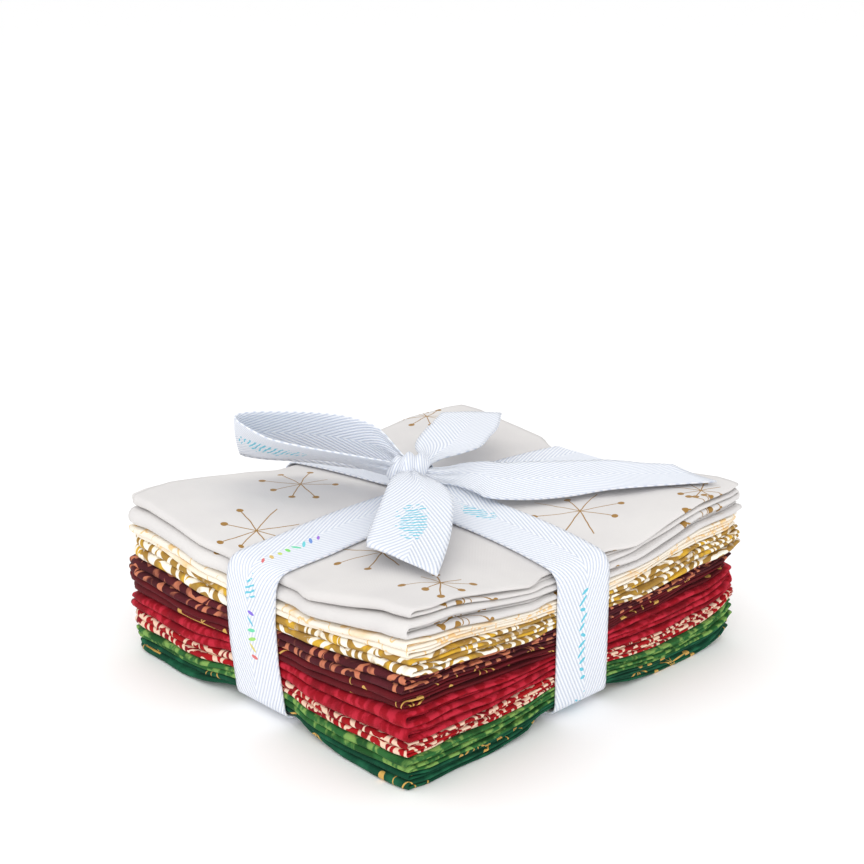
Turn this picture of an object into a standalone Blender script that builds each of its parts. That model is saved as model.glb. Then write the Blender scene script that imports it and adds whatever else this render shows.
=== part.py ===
"""Fat quarter bundle: nine folded quilting cottons tied crosswise with a twill ribbon and a bow.

Metres, +Z up. The origin is on the floor under the middle of the stack. The front face
of the stack, where the fabrics' folds show as rolls, looks along -Y. The bow lies on top.
"""

import math

import bmesh
import bpy
from mathutils import Vector

MM = 0.001

# Stack, in mm
HALF_X = 70.0
HALF_Y = 78.5
STACK_TOP = 57.0
PIECE_GAP = 0.34
LAYER_GAP = 0.36
TURN_STEPS = 3

# Ribbon, in mm
RIBBON_WIDTH = 24.0
RIBBON_THICK = 1.0
RIBBON_X = 1.0
RIBBON_Y = -4.0
GROOVE_HALF = 13.0
GROOVE_REACH = 57.0
LIFT_REACH = 15.0
PRESS_MIDDLE = 3.0
PRESS_FRONT = 9.0
PRESS_BACK = 5.5
PRESS_RIGHT = 8.0
PRESS_LEFT = 5.5
FACE_FRONT = 77.0
FACE_SIDE = 68.5

# Lines across the stack on which every fabric has its points
LINES_X = (-70.0, -46.0, -27.0, -12.0, 14.0, 29.0, 47.0, 70.0)
LINES_Y = (-78.5, -52.0, -32.0, -17.0, 9.0, 24.0, 50.0, 78.5)

# Height of the stack's underside over the band that runs along Y, at each of LINES_Y
LIFT_ALONG_Y = (3.6, 1.7, 1.6, 2.8, 2.8, 1.6, 1.7, 3.6)
# The same over the band that runs along X, at each of LINES_X
LIFT_ALONG_X = (3.6, 1.5, 1.5, 1.5, 1.5, 1.5, 1.5, 3.6)

# One row for each fabric, from the bottom up. Sizes in mm.
# near, left, right, far: height at each corner of the stack; near is at +X and -Y.
# upper: share of that height in its upper roll.
# front, back, west, east: how far each edge stands out past the nominal footprint.
# step: how much further the lower roll stands out than the upper one.
# turn: where its uneven edges start their waves.
FABRIC_COLUMNS = (
    "name", "near", "left", "right", "far", "upper", "front", "back", "west", "east",
    "step", "turn", "colour",
)
CORNERS = ("near", "left", "right", "far")
FABRICS = (
    ("fabric_dark_green", 4.8, 4.2, 5.6, 4.8, 0.50, -0.4, -0.6, -1.2, -0.8, 0.8, 5.4, "155A3A"),
    ("fabric_green", 5.8, 4.6, 6.0, 5.4, 0.48, 0.6, -0.2, -0.8, 0.2, -0.9, 6.0, "4F8C3F"),
    ("fabric_red_scroll", 4.8, 5.8, 4.6, 5.2, 0.55, 0.2, 0.4, 1.6, -0.4, 0.7, 5.2, "B8352F"),
    ("fabric_red", 9.4, 5.8, 8.4, 7.8, 0.46, 0.9, -0.6, 2.6, -0.2, 1.0, 7.4, "B01C31"),
    ("fabric_maroon", 5.8, 6.8, 4.6, 5.8, 0.50, 0.3, -2.4, 2.8, -2.2, -0.8, 6.2, "6E1B27"),
    ("fabric_brown", 5.2, 6.4, 4.6, 5.4, 0.52, 0.8, -1.2, 2.0, -1.4, 0.6, 5.6, "6A3436"),
    ("fabric_gold", 6.0, 8.2, 8.0, 7.4, 0.48, -0.3, 0.8, 0.6, 1.0, 0.9, 6.4, "C59F4E"),
    ("fabric_cream", 4.8, 4.8, 4.6, 4.8, 0.52, 0.4, 0.2, -0.4, 0.0, -0.6, 5.3, "F3E7CF"),
    ("fabric_white", 10.4, 10.4, 10.6, 10.4, 0.40, 1.0, 0.6, -0.6, 0.6, 1.2, 9.1, "E4E2E0"),
)

# Bow pieces: one row for each section of a strip, its two edges in mm.
EDGE_COLUMNS = ("ax", "ay", "az", "bx", "by", "bz")
TAIL_LONG = (
    (3.2, -4.9, 60.8, 2.8, 0.8, 64.6),
    (8.0, 0.6, 59.4, 6.4, 6.2, 65.6),
    (14.0, 2.9, 58.4, 8.4, 14.8, 64.6),
    (21.4, 3.6, 57.6, 9.4, 21.4, 62.8),
    (28.2, 15.2, 55.9, 13.0, 31.6, 61.8),
    (35.0, 27.4, 55.8, 19.8, 45.2, 60.5),
    (41.4, 40.0, 56.7, 26.4, 58.2, 59.4),
    (51.0, 51.0, 57.8, 35.4, 66.0, 58.6),
    (64.4, 69.4, 58.2, 42.2, 73.6, 58.0),
)
TAIL_BACK = (
    (-9.4, 0.9, 65.3, -1.0, 3.0, 65.9),
    (-14.0, 3.4, 66.4, 1.2, 9.8, 66.8),
    (-18.6, 8.2, 67.0, 1.2, 19.6, 67.2),
    (-25.6, 18.6, 67.0, -5.2, 31.0, 67.0),
    (-32.8, 30.2, 66.4, -12.6, 43.0, 66.4),
    (-41.0, 42.2, 65.6, -25.6, 58.4, 65.4),
)
LOOP_FRONT = (
    (-4.6, -10.8, 64.4, 1.2, -9.4, 64.4),
    (-1.4, -19.4, 64.0, 13.6, -11.0, 63.9),
    (6.2, -29.6, 63.0, 25.0, -17.0, 63.0),
    (13.0, -38.2, 62.1, 34.0, -26.0, 61.9),
    (18.4, -45.0, 61.5, 42.4, -35.2, 60.9),
    (23.0, -50.6, 60.9, 50.0, -44.6, 60.2),
    (26.4, -54.6, 60.5, 56.2, -52.6, 59.8),
    (27.9, -56.4, 60.1, 58.6, -56.0, 59.5),
    (28.6, -57.0, 59.4, 59.6, -57.6, 58.8),
    (27.9, -56.6, 58.7, 58.6, -56.6, 58.1),
    (26.4, -55.2, 58.3, 56.2, -54.0, 57.7),
    (22.0, -51.2, 57.8, 49.6, -46.6, 57.2),
    (15.2, -44.2, 57.4, 39.6, -36.0, 57.1),
    (8.6, -35.4, 57.3, 29.4, -24.2, 57.2),
    (2.4, -24.8, 57.8, 19.4, -14.6, 57.7),
    (-4.0, -11.2, 59.6, 2.6, -9.0, 59.6),
)

# The loop on its side: sections given along and across its own line from the knot.
# out: distance from the knot. side: towards the front. One edge is low and one high.
LOOP_HEADING = math.radians(226.0)
LOOP_COLUMNS = ("out", "low_side", "low", "high_side", "high")
LOOP_SIDE = (
    (6.5, 1.8, 61.0, 2.8, 66.2),
    (16.0, -3.5, 61.4, 8.0, 69.6),
    (26.0, -9.0, 62.6, 11.0, 72.4),
    (38.5, -9.5, 63.8, 11.8, 75.0),
    (49.0, -9.5, 63.8, 9.5, 76.8),
    (56.0, -10.5, 64.2, 5.0, 78.8),
    (60.5, -12.6, 64.6, 0.0, 80.0),
    (62.0, -15.5, 63.4, -4.5, 80.4),
    (60.0, -18.0, 61.8, -8.5, 80.4),
    (54.0, -20.0, 60.2, -11.0, 80.1),
    (46.0, -21.5, 59.2, -12.2, 79.7),
    (36.0, -20.5, 58.6, -12.2, 79.4),
    (24.0, -15.5, 58.6, -10.2, 78.4),
    (14.0, -9.5, 60.0, -6.8, 75.4),
    (6.0, -2.8, 61.6, -2.8, 67.6),
)

KNOT_AT = (-4.0, -4.0, 62.6)
KNOT_RADII = (6.2, 5.8, 6.6)


def clear_scene():
    for old in list(bpy.data.objects):
        bpy.data.objects.remove(old)


def soften(share):
    share = min(1.0, max(0.0, share))
    return share * share * (3.0 - 2.0 * share)


def fade(distance, reach):
    """1 under the ribbon, falling to 0 at reach beyond its groove."""
    return 1.0 - soften((abs(distance) - GROOVE_HALF) / reach)


def press(along, half, low_edge, high_edge):
    edge = high_edge if along > 0 else low_edge
    return PRESS_MIDDLE + (edge - PRESS_MIDDLE) * min(1.0, abs(along) / half) ** 3


def top_height(x, y):
    """The stack's top face: flat quarters, drawn down under the two bands."""
    reach = GROOVE_REACH - GROOVE_HALF
    under_y = fade(x - RIBBON_X, reach)
    under_x = fade(y - RIBBON_Y, reach)
    deep_y = press(y, HALF_Y, PRESS_FRONT, PRESS_BACK)
    deep_x = press(x, HALF_X, PRESS_LEFT, PRESS_RIGHT)
    sunk = deep_y * under_y + deep_x * under_x - PRESS_MIDDLE * under_y * under_x
    return STACK_TOP - sunk


def bottom_height(i, j):
    """The stack's underside at line i of LINES_X and line j of LINES_Y."""
    over_y = LIFT_ALONG_Y[j] * fade(LINES_X[i] - RIBBON_X, LIFT_REACH)
    over_x = LIFT_ALONG_X[i] * fade(LINES_Y[j] - RIBBON_Y, LIFT_REACH)
    return max(over_y, over_x)


def cell(lines, at):
    """The pair of lines that at lies between, or nearest to, and its share of the way."""
    for k in range(len(lines) - 1):
        if at <= lines[k + 1] or k == len(lines) - 2:
            return k, (at - lines[k]) / (lines[k + 1] - lines[k])


def on_lines(values, x, y):
    """A height between the lines, straight from line to line so that neighbours stay apart."""
    i, u = cell(LINES_X, x)
    j, v = cell(LINES_Y, y)
    near = values[i][j] * (1 - u) + values[i + 1][j] * u
    far = values[i][j + 1] * (1 - u) + values[i + 1][j + 1] * u
    return near * (1 - v) + far * v


def corner_mix(values, x, y):
    """A value at (x, y) mixed from those at the stack's near, left, right and far corners."""
    east = 0.5 + 0.5 * x / HALF_X
    back = 0.5 + 0.5 * y / HALF_Y
    near, left, right, far = values
    front_value = near * east + left * (1 - east)
    back_value = right * east + far * (1 - east)
    return front_value * (1 - back) + back_value * back


def level_table(shares, wave, phase):
    """Heights, at every crossing of the lines, of the face at these shares of the corners."""
    table = []
    for i, x in enumerate(LINES_X):
        row = []
        for j, y in enumerate(LINES_Y):
            low = bottom_height(i, j)
            high = top_height(x, y)
            swell = wave * math.sin(x / 21.0 + phase) * math.cos(y / 27.0 - phase)
            row.append(low + (high - low) * corner_mix(shares, x, y) + swell)
        table.append(row)
    return table


def fabric_rows():
    return [dict(zip(FABRIC_COLUMNS, row)) for row in FABRICS]


def levels():
    """The faces between the fabrics, from the underside of the stack to its top."""
    rows = fabric_rows()
    totals = [sum(row[corner] for row in rows) for corner in CORNERS]
    tables = [level_table([0.0] * 4, 0.0, 0.0)]
    reached = [0.0] * 4
    for k, row in enumerate(rows):
        reached = [so_far + row[corner] for so_far, corner in zip(reached, CORNERS)]
        shares = [so_far / total for so_far, total in zip(reached, totals)]
        top = k == len(rows) - 1
        tables.append(level_table(shares, 0.0 if top else 0.45, 0.8 * k))
    return tables


def edge_place(row, side, pair, along):
    """Where one edge of a fabric ends, drawn in flat where the ribbon lies on it."""
    turned = pair if row["step"] > 0 else 1 - pair
    back = abs(row["step"]) * turned
    ripple = 0.7 * math.sin(along / 17.0 + 2.3 * row["turn"] + pair)
    if side in ("front", "back"):
        loose = HALF_Y + row[side] - back + ripple
        held = FACE_FRONT
        under = -GROOVE_HALF <= along - RIBBON_X <= GROOVE_HALF
    else:
        loose = HALF_X + row[side] - 0.6 * back + ripple
        held = FACE_SIDE
        under = -GROOVE_HALF <= along - RIBBON_Y <= GROOVE_HALF
    return held if under else loose


def band_heights(low, high, upper, bottom_one):
    """The middle height and the thickness of the four bands of one fabric."""
    base = low + (0.0 if bottom_one else PIECE_GAP / 2)
    room = high - PIECE_GAP / 2 - base
    bands = []
    for share, start in ((1 - upper, 0.0), (upper, 1 - upper)):
        thick = (room * share - 1.5 * LAYER_GAP) / 2
        floor = base + room * start + (LAYER_GAP / 2 if start else 0.0)
        bands.append((floor + thick / 2, thick))
        bands.append((floor + thick + LAYER_GAP + thick / 2, thick))
    return bands


def section_stops():
    """One trip along the folded cloth: (band, line) on a flat, or a step round a turn."""
    stops = []
    for band in range(4):
        forward = band % 2 == 1
        order = range(len(LINES_Y)) if forward else reversed(range(len(LINES_Y)))
        stops += [("flat", band, j) for j in order]
        if band < 3:
            stops += [("turn", band, step) for step in range(1, TURN_STEPS)]
    return stops


def section_point(row, low, high, x, stop, bottom_one):
    """(y, z, thickness) of one point of the section at x."""
    kind, band, number = stop
    pair = band // 2
    front = -edge_place(row, "front", pair, x)
    back = edge_place(row, "back", 0, x)

    def bands_at(y):
        ends = on_lines(low, x, y), on_lines(high, x, y)
        return band_heights(*ends, row["upper"], bottom_one)

    if kind == "turn":
        at_back = band == 1
        end = back if at_back else front
        (z0, t0), (z1, t1) = bands_at(end)[band], bands_at(end)[band + 1]
        radius = abs(z1 - z0) / 2
        thick = (t0 + t1) / 2
        outward = 1.0 if at_back else -1.0
        centre = end - outward * (radius + thick / 2)
        angle = math.pi * number / TURN_STEPS
        y = centre + outward * radius * math.sin(angle)
        z = (z0 + z1) / 2 - (z1 - z0) / 2 * math.cos(angle)
        return y, z, thick
    y = LINES_Y[number]
    if number == 0:
        z, thick = bands_at(front)[band]
        y = front + (abs(bands_at(front)[pair * 2 + 1][0] - bands_at(front)[pair * 2][0]) + thick) / 2
        return y, z, thick
    if number == len(LINES_Y) - 1:
        z, thick = bands_at(back)[band]
        y = back
        if band in (1, 2):
            y = back - (abs(bands_at(back)[2][0] - bands_at(back)[1][0]) + thick) / 2
        return y, z, thick
    z, thick = bands_at(y)[band]
    return y, z, thick


def fabric_object(row, low, high, bottom_one, collection):
    """A fabric folded back and forth: a grid bent along its section, thickened to a sheet."""
    stops = section_stops()
    mesh = bpy.data.meshes.new(row["name"])
    build = bmesh.new()
    weights = []
    grid = []
    for x in LINES_X:
        column = []
        for stop in stops:
            y, z, thick = section_point(row, low, high, x, stop, bottom_one)
            place = x
            if x in (LINES_X[0], LINES_X[-1]):
                side = "west" if x < 0 else "east"
                place = math.copysign(edge_place(row, side, stop[1] // 2, y), x)
                slip = 0.5 * math.sin(2.1 * stop[1] + row["turn"])
                held = abs(y - RIBBON_Y) <= GROOVE_HALF + 0.01
                place += 0.0 if held else slip
            column.append(build.verts.new(Vector((place, y, z)) * MM))
            weights.append(thick)
        grid.append(column)
    for near, far in zip(grid, grid[1:]):
        for k, stop in enumerate(stops[:-1]):
            a, b, c, d = near[k], near[k + 1], far[k + 1], far[k]
            onward = stop[1] % 2 == 1
            faces = ((a, b, c), (a, c, d)) if onward else ((a, b, d), (b, c, d))
            for corners in faces:
                build.faces.new(corners)
    build.normal_update()
    build.to_mesh(mesh)
    build.free()
    obj = bpy.data.objects.new(row["name"], mesh)
    collection.objects.link(obj)
    widest = max(weights)
    group = obj.vertex_groups.new(name="thickness")
    for index, thick in enumerate(weights):
        group.add([index], thick / widest, "REPLACE")
    solid = obj.modifiers.new("Cloth", "SOLIDIFY")
    solid.thickness = widest * MM
    solid.offset = 0.0
    solid.use_even_offset = True
    solid.vertex_group = group.name
    return obj


def strip_object(name, sections, across, collection):
    """A ribbon: cross sections joined into a strip and thickened."""
    mesh = bpy.data.meshes.new(name)
    build = bmesh.new()
    grid = []
    for edge_a, edge_b in sections:
        line = [edge_a.lerp(edge_b, k / across) for k in range(across + 1)]
        grid.append([build.verts.new(point * MM) for point in line])
    for near, far in zip(grid, grid[1:]):
        for k in range(across):
            build.faces.new((near[k], near[k + 1], far[k + 1], far[k]))
    build.normal_update()
    build.to_mesh(mesh)
    build.free()
    obj = bpy.data.objects.new(name, mesh)
    collection.objects.link(obj)
    solid = obj.modifiers.new("Ribbon", "SOLIDIFY")
    solid.thickness = RIBBON_THICK * MM
    solid.offset = 0.0
    solid.use_even_offset = False
    return obj


def between(p0, p1, p2, p3, t):
    """A smooth curve through p1 and p2."""
    a = 2 * p1
    b = p2 - p0
    c = 2 * p0 - 5 * p1 + 4 * p2 - p3
    d = 3 * p1 - p0 - 3 * p2 + p3
    return (a + b * t + c * t * t + d * t * t * t) / 2


def smooth_sections(sections, steps):
    """The same sections with steps - 1 more between each two."""
    result = []
    last = len(sections) - 1
    for k in range(last):
        four = [sections[min(last, max(0, k + n))] for n in (-1, 0, 1, 2)]
        for step in range(steps):
            t = step / steps
            result.append(tuple(between(*(s[e] for s in four), t) for e in (0, 1)))
    result.append(sections[last])
    return result


def edge_sections(rows):
    sections = []
    for row in rows:
        part = dict(zip(EDGE_COLUMNS, row))
        sections.append(
            (
                Vector((part["ax"], part["ay"], part["az"])),
                Vector((part["bx"], part["by"], part["bz"])),
            )
        )
    return sections


def loop_sections(rows):
    """The side loop's table turned into places in the stack's frame."""
    out = Vector((math.cos(LOOP_HEADING), math.sin(LOOP_HEADING), 0.0))
    side = Vector((-out.y, out.x, 0.0))
    start = Vector((KNOT_AT[0], KNOT_AT[1], 0.0))
    sections = []
    for row in rows:
        part = dict(zip(LOOP_COLUMNS, row))
        base = start + out * part["out"]
        low = base + side * part["low_side"] + Vector((0, 0, part["low"]))
        high = base + side * part["high_side"] + Vector((0, 0, part["high"]))
        sections.append((low, high))
    return sections


def low_corner(face, low, sign):
    """The ribbon's bend under the stack's edge, from below to the face."""
    return [(sign * (face - 1.2), low - 0.1), (sign * (face - 0.3), low + 0.2), (sign * face, low + 1.2)]


def high_corner(face, high, sign):
    """The ribbon's bend over the stack's top edge, from the face to the top."""
    return [(sign * face, high - 1.6), (sign * (face - 0.4), high - 0.3), (sign * (face - 1.6), high + 0.2)]


def wrap_path_y(top):
    """The band along Y, from its end under the stack, up the front, over and back: (y, z)."""
    rise = RIBBON_THICK / 2 + 0.4
    face = FACE_FRONT + rise
    low = LIFT_ALONG_Y[0] - rise
    front_top = on_lines(top, RIBBON_X, -face) + rise
    back_top = on_lines(top, RIBBON_X, face) + rise
    path = [(RIBBON_Y - 0.6, 1.8), (LINES_Y[3], 1.8), (LINES_Y[2], 0.6), (LINES_Y[1], 0.7)]
    path += low_corner(face, low, -1)
    path += [(-face, 24.0)]
    path += high_corner(face, front_top, -1)
    path += [(y, on_lines(top, RIBBON_X, y) + rise) for y in LINES_Y[1:-1]]
    path += high_corner(face, back_top, 1)[::-1]
    path += [(face, 24.0)]
    path += low_corner(face, low, 1)[::-1]
    path += [(LINES_Y[6], 0.7), (LINES_Y[5], 0.6), (LINES_Y[4], 1.8), (RIBBON_Y + 0.6, 1.8)]
    return path


def wrap_path_x(top):
    """The band along X, from the left of the knot, down, under and up to its right: (x, z)."""
    half = RIBBON_THICK / 2
    rise = half + 0.4
    face = FACE_SIDE + rise
    low = LIFT_ALONG_X[0] - rise
    over = rise + RIBBON_THICK + 0.4
    left_top = on_lines(top, -face, RIBBON_Y) + rise
    right_top = on_lines(top, face, RIBBON_Y) + rise
    path = [(-8.5, on_lines(top, -8.5, RIBBON_Y) + over + 1.0)]
    path += [(-13.0, on_lines(top, -13.0, RIBBON_Y) + over)]
    path += [(-18.5, on_lines(top, -18.5, RIBBON_Y) + rise + 0.1)]
    path += [(x, on_lines(top, x, RIBBON_Y) + rise) for x in (LINES_X[2], LINES_X[1])]
    path += high_corner(face, left_top, -1)[::-1]
    path += [(-face, 24.0)]
    path += low_corner(face, low, -1)[::-1]
    path += [(-48.0, half), (-20.0, half), (20.0, half), (48.0, half)]
    path += low_corner(face, low, 1)
    path += [(face, 24.0)]
    path += high_corner(face, right_top, 1)
    path += [(x, on_lines(top, x, RIBBON_Y) + rise) for x in (LINES_X[6], LINES_X[5])]
    path += [(20.5, on_lines(top, 20.5, RIBBON_Y) + rise + 0.1)]
    path += [(15.0, on_lines(top, 15.0, RIBBON_Y) + over)]
    path += [(9.0, on_lines(top, 9.0, RIBBON_Y) + over + 0.6)]
    path += [(2.2, on_lines(top, 2.2, RIBBON_Y) + over + 1.4)]
    return path


def gathered(x, z):
    """The share of its width that the band keeps: it is drawn together at the knot."""
    near = abs(x - KNOT_AT[0])
    return 1.0 if z < STACK_TOP / 2 else min(1.0, 0.25 + 0.05 * near)


def knot_object(collection):
    """The knot: a small round of cloth drawn tight, a little flatter below."""
    mesh = bpy.data.meshes.new("ribbon_knot")
    build = bmesh.new()
    bmesh.ops.create_uvsphere(build, u_segments=14, v_segments=9, radius=1.0)
    for vert in build.verts:
        around = math.atan2(vert.co.y, vert.co.x)
        swell = 1.0 + 0.06 * math.cos(3 * around) * (1 - vert.co.z**2)
        place = [KNOT_AT[k] + KNOT_RADII[k] * vert.co[k] * swell for k in range(3)]
        vert.co = Vector(place) * MM
    build.to_mesh(mesh)
    build.free()
    obj = bpy.data.objects.new("ribbon_knot", mesh)
    collection.objects.link(obj)
    return obj


def material_of(name, colour, roughness):
    material = bpy.data.materials.new(name)
    material.use_nodes = True
    shader = material.node_tree.nodes["Principled BSDF"]
    channels = [int(colour[k : k + 2], 16) / 255 for k in (0, 2, 4)]
    shader.inputs["Base Color"].default_value = [c**2.2 for c in channels] + [1.0]
    shader.inputs["Roughness"].default_value = roughness
    shader.inputs["Metallic"].default_value = 0.0
    return material


def main():
    clear_scene()
    collection = bpy.data.collections.new("fat_quarter_bundle")
    bpy.context.scene.collection.children.link(collection)
    tables = levels()
    for k, row in enumerate(fabric_rows()):
        obj = fabric_object(row, tables[k], tables[k + 1], k == 0, collection)
        obj.data.materials.append(material_of(row["name"], row["colour"], 0.85))
    top = tables[-1]
    reach = RIBBON_WIDTH / 2
    band_y = [
        (Vector((RIBBON_X - reach, y, z)), Vector((RIBBON_X + reach, y, z)))
        for y, z in wrap_path_y(top)
    ]
    band_x = []
    for x, z in wrap_path_x(top):
        wide = reach * gathered(x, z)
        band_x.append((Vector((x, RIBBON_Y + wide, z)), Vector((x, RIBBON_Y - wide, z))))
    pieces = [
        strip_object("ribbon_band_long", band_y, 2, collection),
        strip_object("ribbon_band_cross", band_x, 2, collection),
        strip_object("bow_loop_side", smooth_sections(loop_sections(LOOP_SIDE), 2), 3, collection),
        strip_object("bow_loop_front", edge_sections(LOOP_FRONT), 3, collection),
        strip_object("bow_tail_long", smooth_sections(edge_sections(TAIL_LONG), 2), 3, collection),
        strip_object("bow_tail_back", smooth_sections(edge_sections(TAIL_BACK), 2), 3, collection),
        knot_object(collection),
    ]
    for obj in pieces:
        obj.data.materials.append(material_of(obj.name, "F1F4F8", 0.7))


main()
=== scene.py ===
"""Fat quarter bundle: nine quilting cottons, each cut once and folded into twelve layers,
stacked and tied both ways with a herringbone twill ribbon and a bow.

Sizes in the tables are in millimetres. The origin is on the floor under the middle of the
stack. The fronts of the folds look along -Y.
"""

import math

import bmesh
import bpy
import numpy as np
from mathutils import Matrix, Vector


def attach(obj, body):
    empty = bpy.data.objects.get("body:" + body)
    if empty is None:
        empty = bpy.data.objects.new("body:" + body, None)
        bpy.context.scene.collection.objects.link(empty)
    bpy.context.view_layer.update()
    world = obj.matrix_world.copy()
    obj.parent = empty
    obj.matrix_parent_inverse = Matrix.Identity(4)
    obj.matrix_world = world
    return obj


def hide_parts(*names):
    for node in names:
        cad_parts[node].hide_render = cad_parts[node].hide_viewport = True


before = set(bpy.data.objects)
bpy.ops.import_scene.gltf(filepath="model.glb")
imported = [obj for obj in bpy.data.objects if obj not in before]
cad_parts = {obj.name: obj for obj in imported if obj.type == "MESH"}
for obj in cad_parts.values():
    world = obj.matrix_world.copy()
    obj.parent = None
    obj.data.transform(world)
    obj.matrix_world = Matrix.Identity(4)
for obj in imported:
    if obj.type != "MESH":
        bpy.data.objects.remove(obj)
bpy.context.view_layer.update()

bl_info = {
    "name": "Fat quarter bundle",
    "version": (1, 0, 0),
    "blender": (4, 5, 0),
    "location": "View3D > Sidebar > Bundle",
    "description": "Nine folded quilting cottons tied both ways with a twill ribbon and a bow",
    "category": "Add Mesh",
}

MM = 0.001

# How each quarter is folded: plies side by side along X, then bands along Y
PLIES = 3
BANDS = 4
LAYERS = PLIES * BANDS

# Where the grid's lines lie on one ply or band: even steps inside, finer ones near its edge
INSIDE_X = 61.0
INSIDE_Y = 69.5
STEP = 4.1
STEP_TOP = 2.9
EDGE_STEPS = 4
TURN_STEPS = 7
EDGE_TURN_STEPS = 6
ROLL_DEPTH = 0.9

# Where each of the three plies lies in the height of its band, close to a side edge: the two
# that turn there part and fill the band, and the cut one lies back from the edge
OPEN_EAST = (0.14, 0.72, 0.9)
OPEN_WEST = (0.1, 0.28, 0.86)
OPEN_SHARE = 0.58
OPEN_REACH = 8.0
CUT_BACK = 1.7
CORNER_IN = 1.5
CORNER_FROM_X = 61.0
CORNER_FROM_Y = 69.0
CORNER_REACH = 11.0
LAYER_UNEVEN = 0.28

# The ribbon presses the stack down and holds its faces in
RIBBON_X = 1.0
RIBBON_Y = -4.0
GROOVE_HALF = 13.0
GROOVE_REACH = 57.0
STRAIGHT = 0.8
LIFT_REACH = 27.0
HELD_REACH = 13.0
PRESS_MIDDLE = 3.0
PRESS_FRONT = 9.0
PRESS_BACK = 5.5
PRESS_RIGHT = 8.0
PRESS_LEFT = 5.5
FACE_FRONT = 77.0
FACE_SIDE = 68.5
PIECE_GAP = 0.3

# How far the top fabric's four bands, from the lowest up, draw in where the ribbon bends over
# them, at the sides and at the front and back
TUCK_SIDE = (0.1, 0.4, 1.3, 3.3)
TUCK_END = (0.1, 0.4, 2.0, 4.4)
BEND = 5.5
BAND_STEP = 0.8
BAND_RISE = 0.35
FACE_STOPS = (14.0, 24.0, 34.0)

# The band along Y leans to the left on the front face
LEAN_AT = (0.0, 8.0, 20.0, 34.0, 46.0)
LEAN = (0.4, -0.6, -2.8, -3.8, -3.0)
HELD_LEAN = 2.2

# Height of the stack's underside over each of the two bands, and where its right end curls up
LIFT_AT_Y = (-78.5, -52.0, -32.0, -17.0, 9.0, 24.0, 50.0, 78.5)
LIFT_ALONG_Y = (3.6, 1.7, 1.6, 2.8, 2.8, 1.6, 1.7, 3.6)
LIFT_AT_X = (-70.0, -46.0, 47.0, 70.0)
LIFT_ALONG_X = (3.6, 1.5, 1.5, 3.6)
CURL = 4.2
CURL_X = 44.0
CURL_Y = 58.0
CURL_REACH = 22.0

# One row for each fabric, from the bottom up
# near, left, right, far: height at each corner of the stack; near is at +X and -Y.
# upper: share of that height in its upper roll.
# front, back, west, east: how far each edge stands out past the nominal footprint.
# step: how much further the lower roll stands out than the upper one.
# turn: where its uneven edges start their waves. loose: how uneven they are.
FABRIC_COLUMNS = (
    "name", "near", "left", "right", "far", "upper", "front", "back", "west", "east",
    "step", "turn", "loose",
)
CORNERS = ("near", "left", "right", "far")
FABRICS = (
    ("dark_green", 4.8, 4.2, 5.6, 4.8, 0.50, -0.4, -0.6, -1.2, -0.8, 0.8, 5.4, 0.8),
    ("green", 5.8, 4.6, 6.0, 5.4, 0.48, 0.6, -0.2, -0.8, 0.2, -0.9, 6.0, 1.0),
    ("red_scroll", 4.8, 5.8, 4.6, 5.2, 0.55, 0.2, 0.4, 1.6, -0.4, 0.7, 5.2, 0.9),
    ("red", 9.4, 5.8, 8.4, 7.8, 0.46, 0.9, -0.6, 2.6, -0.2, 1.0, 7.4, 0.9),
    ("maroon", 5.8, 6.8, 4.6, 5.8, 0.50, 0.3, -2.4, 2.8, -2.2, -0.8, 6.2, 0.8),
    ("brown", 5.2, 6.4, 4.6, 5.4, 0.52, 0.8, -1.2, 2.0, -1.4, 0.6, 5.6, 0.9),
    ("gold", 6.0, 8.2, 8.0, 7.4, 0.48, -0.3, 0.8, 0.6, 1.0, 0.9, 6.4, 1.1),
    ("cream", 4.8, 4.8, 4.6, 4.8, 0.52, 0.4, 0.2, -0.4, 0.0, -0.6, 5.3, 0.9),
    ("white", 10.4, 10.4, 10.6, 10.4, 0.40, 1.0, 0.6, -0.6, 0.6, 1.2, 9.1, 0.8),
)

# Soft creases on the top face: from (ax, ay) to (bx, by), half width and height, below 0 a trough
CREASE_COLUMNS = ("ax", "ay", "bx", "by", "wide", "height")
CREASES = (
    (-16.0, -22.0, -52.0, -44.0, 7.0, -0.7),
    (-14.0, -16.0, -58.0, -20.0, 6.0, 0.6),
    (16.0, -20.0, 34.0, -62.0, 6.0, -0.6),
    (18.0, -22.0, 56.0, -46.0, 7.0, 0.5),
    (16.0, 14.0, 48.0, 52.0, 8.0, -0.6),
    (-18.0, 14.0, -46.0, 56.0, 8.0, 0.6),
    (-62.0, 20.0, -28.0, 30.0, 7.0, -0.5),
    (24.0, 40.0, 60.0, 26.0, 6.0, 0.4),
)

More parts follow.
